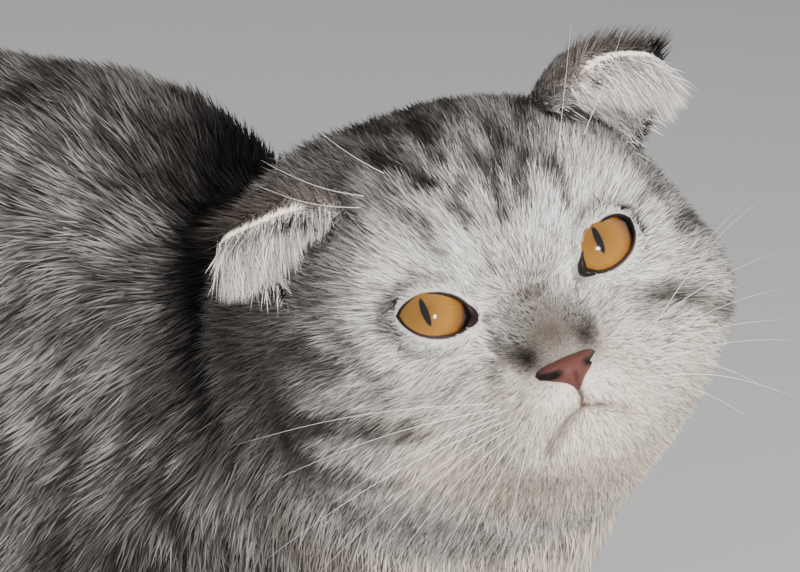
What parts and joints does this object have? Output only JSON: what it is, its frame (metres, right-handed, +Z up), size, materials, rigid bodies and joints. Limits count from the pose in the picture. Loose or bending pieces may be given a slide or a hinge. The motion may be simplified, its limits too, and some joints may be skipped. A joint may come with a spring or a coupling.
{
  "type": "scottish fold cat",
  "caption": "Still life-size model of a lying short-haired silver tabby cat with folded ears, its head turned aside, lifted and tilted.",
  "frame": {"origin": "on the ground under the middle of the cat's bounding box", "axes": "+X forward along the body, +Y to the cat's left, +Z up"},
  "size_m": [0.4298, 0.2434, 0.1931],
  "materials": {
    "coat": "short dense silver tabby fur, dark brown-black to pale grey, matt",
    "ear_coat": "thin cream fur over skin on the folded ears, matt",
    "bare_skin": "moist pink-brown bare skin of the nose and lids, satin",
    "eye": "wet amber eye with a black slit pupil, glossy"
  },
  "bodies": {
    "root": {"head": "coat", "neck": "coat", "trunk": "coat", "shoulder_left": "coat", "shoulder_right": "coat", "forearm_left": "coat", "forearm_right": "coat", "forepaw_left": "coat", "forepaw_right": "coat", "thigh_left": "coat", "thigh_right": "coat", "hindpaw_left": "coat", "hindpaw_right": "coat", "tail_root": "coat", "tail_middle": "coat", "tail_tip": "coat", "ear_left": "ear_coat", "ear_right": "ear_coat", "nose": "bare_skin", "eye_left": "eye", "eye_right": "eye"}
  },
  "joints": []
}
